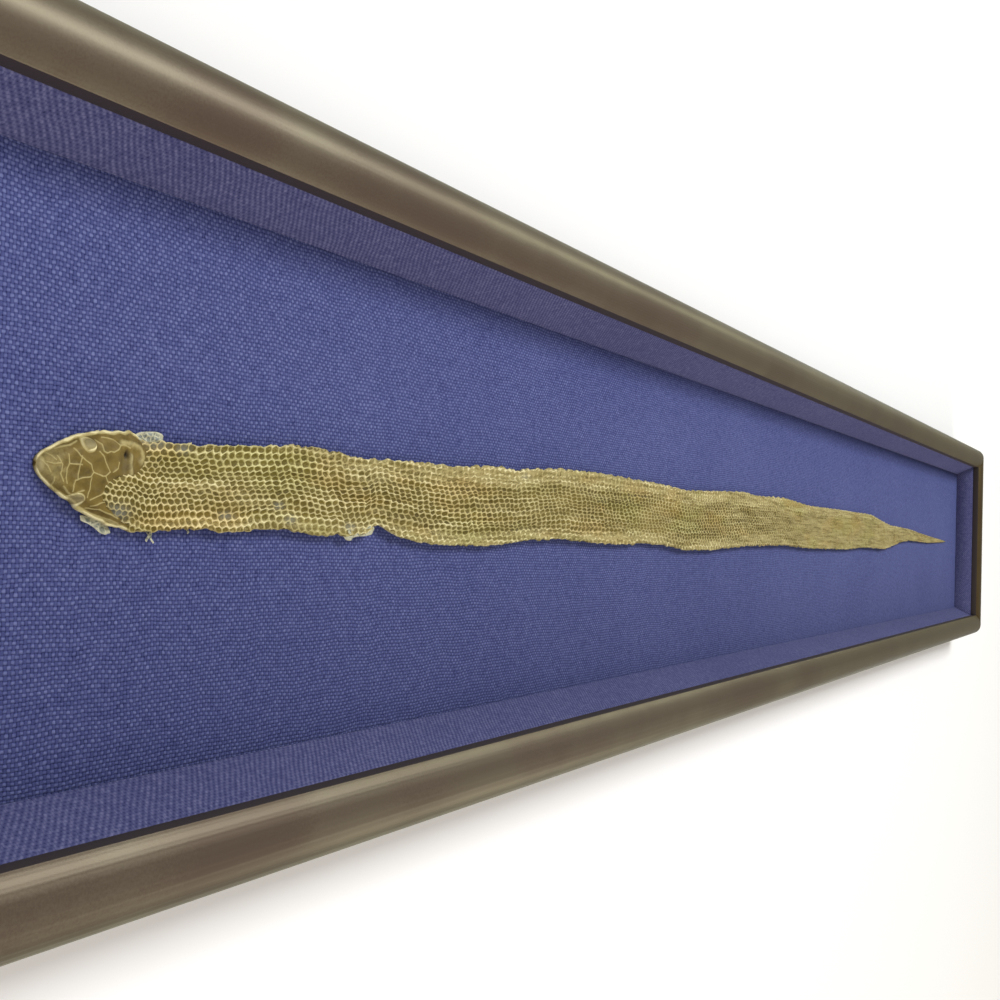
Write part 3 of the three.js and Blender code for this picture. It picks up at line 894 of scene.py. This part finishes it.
skinColours = {
    "floor": (0.162, 0.120, 0.022, 1),
    "floorDark": (0.072, 0.051, 0.006, 1),
    "slope": (0.415, 0.345, 0.145, 1),
    # the rims' colour: pale rims, on their crests partly painted highlight
    "rim": (0.740, 0.665, 0.370, 1),
    "plate": (0.222, 0.157, 0.041, 1),
    "plateDark": (0.088, 0.059, 0.013, 1),
    "gold": (0.38, 0.285, 0.080, 1),
    "russet": (1.02, 0.94, 0.85, 1),  # tints that multiply the colour in patches
    "moss": (0.93, 0.98, 0.88, 1),
    "thin": (0.205, 0.225, 0.215, 1),
    # painted shade in the head's hollow, also laid more thinly over the dark patch and the blots
    "hollow": (0.012, 0.009, 0.006, 1),
    "roughness": 0.50,
}


# floors and plates are mixes of two tones each, by the attribute tone, clouds and grain. Paleness is the
# attribute rim plus grain, flecks and lengthwise strands; it takes them to the slope's colour and on to the
# rim's. Patches are tinted, then thin skin and hollows are laid over
def sloughMaterial():
    m = newMaterial("sloughSkin")
    point = objectPoint(m)
    read = {key: addNode(m, "Attribute", attribute_name=key).outputs["Fac"]
            for key in ("rim", "tone", "thin", "dark", "plate")}
    long = vectorNode(m, "MULTIPLY", point, (0.35, 1.4, 1.4))
    cloud = noise(m, long, 55, 3, 0.55)
    grain = noise(m, point, 900, 3, 0.6)
    patch = noise(m, long, 30, 2, 0.5)
    tone = timesPlus(m, read["tone"], 0.30, 0.5)
    tone = timesPlus(m, minus(m, cloud, 0.5), 1.0, tone, clamp=True)
    floors = mixColour(m, tone, skinColours["floorDark"], skinColours["floor"])
    plateTone = timesPlus(m, grain, 0.5, times(m, tone, 0.6), clamp=True)
    shields = mixColour(m, plateTone, skinColours["plateDark"], skinColours["plate"])
    base = mixColour(m, read["plate"], floors, shields)
    golden = times(m, ramp(m, patch, 0.5, 0.72), 0.26)
    base = mixColour(m, golden, base, skinColours["gold"])
    drawn = vectorNode(m, "MULTIPLY", point, (40, 620, 620))
    strand = minus(m, noise(m, drawn, 1.0, 2, 0.6), 0.5)
    strand = times(m, strand, minus(m, 1.0, read["plate"]))
    netOnly = timesPlus(m, read["plate"], -0.8, 1.0)
    fleck = minus(m, noise(m, point, 2400, 2, 0.6), 0.5)
    fleck = times(m, fleck, netOnly)
    paleness = timesPlus(m, minus(m, grain, 0.5), 0.35, read["rim"])
    paleness = timesPlus(m, fleck, 0.75, paleness)
    paleness = timesPlus(m, strand, 0.9, paleness)
    colour = mixColour(m, ramp(m, paleness, 0.0, 0.62), base, skinColours["slope"])
    # the rims are pale, and the brightest tone on their crests is partly painted highlight
    colour = mixColour(m, ramp(m, paleness, 0.62, 1.15), colour, skinColours["rim"])
    for name, scale in (("russet", 48), ("moss", 37)):
        blot = times(m, ramp(m, noise(m, long, scale, 2, 0.6), 0.50, 0.68), netOnly)
        colour = tinted(m, blot, colour, skinColours[name])
    showing = timesPlus(m, read["rim"], -0.45, 0.55)
    showing = times(m, read["thin"], showing, clamp=True)
    colour = mixColour(m, showing, colour, skinColours["thin"])
    # painted shade: the dark attribute takes the colour towards near black
    hollow = times(m, read["dark"], 0.95, clamp=True)
    colour = mixColour(m, hollow, colour, skinColours["hollow"])
    inputs = {"Base Color": colour, "Roughness": skinColours["roughness"], "Specular IOR Level": 0.14}
    return finishMaterial(m, inputs, timesPlus(m, cloud, 0.5, grain), 0.25, 0.0002)


flakes = {
    # torn edges that lie over the cloth: outline in mm, height over the cloth at the middle
    "shapes": {
        "jaw": ([(-646.4, -9.6), (-645.2, -11.2), (-641.6, -12.4), (-639.2, -14), (-637.2, -14.5),
                 (-635.2, -14), (-636, -12), (-641, -10)], 1.5),
        "nape": ([(-630, 11.4), (-627.6, 12.8), (-624.2, 13.2), (-620.6, 13.4), (-617.8, 12.4),
                  (-618.4, 10.4), (-623, 9.6), (-627, 10.4)], 2.8),
        "shredLeft": ([(-621.6, -12.6), (-620.8, -12.4), (-620.6, -14.6), (-621.4, -16.2), (-622.1, -15.8),
                       (-621.5, -14.4)], 1.2),
        "shredRight": ([(-620.6, -13.6), (-619.9, -13.4), (-618.9, -16.2), (-619.3, -16.6)], 1.1),
        "notch": ([(-536, -11), (-533, -13.6), (-529.6, -15), (-526.2, -13.2), (-521.8, -13.2),
                   (-516.6, -12.5), (-514.6, -10.4), (-516.4, -9), (-521, -10.4), (-526, -9.4),
                   (-531, -10.8)], 3.5),
        "barb": ([(-607, -11.6), (-605.8, -11.6), (-605.6, -13.4), (-606.2, -13.8)], 1.2),
    },
    "thickness": 0.14,
    "around": 40,  # points round each outline
    "rings": (1.0, 0.8, 0.5, 0.2),
    "colour": (0.33, 0.35, 0.25, 1),
    "hem": (0.62, 0.60, 0.42, 1),
}


# thin closed leaves: an outline, rounded by the average of each point and its two neighbours, is drawn in to
# its middle by rings, with a top and an underside a thickness apart
def makeFlakes(material):
    rings, around, thick = np.array(flakes["rings"]), flakes["around"], flakes["thickness"]
    points, faces, hems, base = [], [], [], 0
    for order, (line, height) in enumerate(flakes["shapes"].values()):
        corners = np.array(line, float)
        t = np.arange(around) / around * len(corners)
        edge = np.stack([np.interp(t, np.arange(len(corners) + 1), np.append(corners[:, c], corners[0, c]))
                         for c in (0, 1)], 1)
        edge = (np.roll(edge, 1, 0) + 2 * edge + np.roll(edge, -1, 0)) / 4
        middle = edge.mean(0)
        spots = middle + rings[:, None, None] * (edge - middle)
        z = height + 0.35 * ripple(spots[..., 0], spots[..., 1], 5, 3, 60 + order)
        z = np.maximum(z, 0.35) + floorTop
        top = np.dstack([spots, z]).reshape(-1, 3)
        under = top - (0, 0, thick)
        under[:around] = top[:around] - (0, 0, thick * 0.5)
        centre = np.array([[*middle, z[-1].mean()]])
        both = np.concatenate([top, under, centre, centre - (0, 0, thick)])
        n = around * len(rings)
        ring = np.arange(around)
        after = (ring + 1) % around
        for r in range(len(rings) - 1):
            a, c = r * around, (r + 1) * around
            faces.append(base + np.stack([a + ring, a + after, c + after, c + ring], 1))
            faces.append(base + n + np.stack([a + after, a + ring, c + ring, c + after], 1))
        inner = (len(rings) - 1) * around
        faces.append(base + np.stack([inner + ring, inner + after, np.full(around, 2 * n)], 1))
        faces.append(base + np.stack([n + inner + after, n + inner + ring, np.full(around, 2 * n + 1)], 1))
        faces.append(base + np.stack([ring, n + ring, n + after, after], 1))
        points.append(both)
        hems.append(np.concatenate([np.repeat(rings, around), np.repeat(rings, around), [0, 0]]))
        base += len(both)
    makePiece("skinFlakes", np.concatenate(points), faces, {"hem": np.concatenate(hems)}, material)


# clear skin, paler and less clear at its hem and along the edges of a cell pattern
def tornMaterial():
    m = newMaterial("tornSkin")
    grain = noise(m, objectPoint(m), 700, 3, 0.6)
    hem = addNode(m, "Attribute", attribute_name="hem").outputs["Fac"]
    hem = ramp(m, timesPlus(m, grain, 0.5, hem), 0.80, 1.25)
    inputs = {"Vector": objectPoint(m), "Scale": 560.0}
    cells = addNode(m, "TexVoronoi", inputs, feature="DISTANCE_TO_EDGE").outputs["Distance"]
    hem = mathNode(m, "MAXIMUM", hem, ramp(m, cells, 0.05, 0.20, 0.85, 0.0))
    colour = mixColour(m, hem, flakes["colour"], flakes["hem"])
    solid = timesPlus(m, hem, 0.40, 0.45)
    inputs = {"Base Color": colour, "Roughness": 0.45, "Alpha": solid}
    return finishMaterial(m, inputs, grain, 0.3, 0.0002)


hardware = {
    "board": (0.245, 0.160, 0.085, 1),
    "boardDark": (0.120, 0.072, 0.036, 1),
    "steel": (0.62, 0.62, 0.60, 1),
    "steelDark": (0.33, 0.33, 0.33, 1),
    "screws": 8,
}


# pressed fibres: noise drawn out along the board, with coarse clumps
def fibreMaterial():
    m = newMaterial("fibreboard")
    point = objectPoint(m)
    drawn = vectorNode(m, "MULTIPLY", point, (350, 1100, 1100))
    fibre = noise(m, drawn, 1.0, 4, 0.65)
    clump = noise(m, point, 130, 3, 0.6)
    tone = timesPlus(m, clump, 0.25, times(m, fibre, 0.75))
    colour = mixColour(m, ramp(m, tone, 0.38, 0.62), hardware["boardDark"], hardware["board"])
    inputs = {"Base Color": colour, "Roughness": 0.8, "Specular IOR Level": 0.2}
    return finishMaterial(m, inputs, tone, 0.4, 0.0003)


# brushed zinc: noise drawn out into scratches, which shift its colour and its gloss
def zincMaterial():
    m = newMaterial("zincSteel")
    brushed = vectorNode(m, "MULTIPLY", objectPoint(m), (900, 9000, 900))
    scratch = noise(m, brushed, 1.0, 3, 0.6)
    colour = mixColour(m, ramp(m, scratch, 0.3, 0.7), hardware["steelDark"], hardware["steel"])
    rough = timesPlus(m, scratch, 0.3, 0.22)
    inputs = {"Base Color": colour, "Roughness": rough, "Metallic": 0.9}
    return finishMaterial(m, inputs, scratch, 0.1, 0.0001)


dressNode("back_board", fibreMaterial())
zinc = zincMaterial()
for number in range(hardware["screws"]):
    dressNode("screw_" + str(number + 1), zinc)
print("back and screws dressed")

skin = sloughMaterial()
makeHead(skin)
print("head made")
for netName, net in nets.items():
    makeNet(netName, net, skin)
    print(netName, "made")
makeFlakes(tornMaterial())
print("torn edges made")
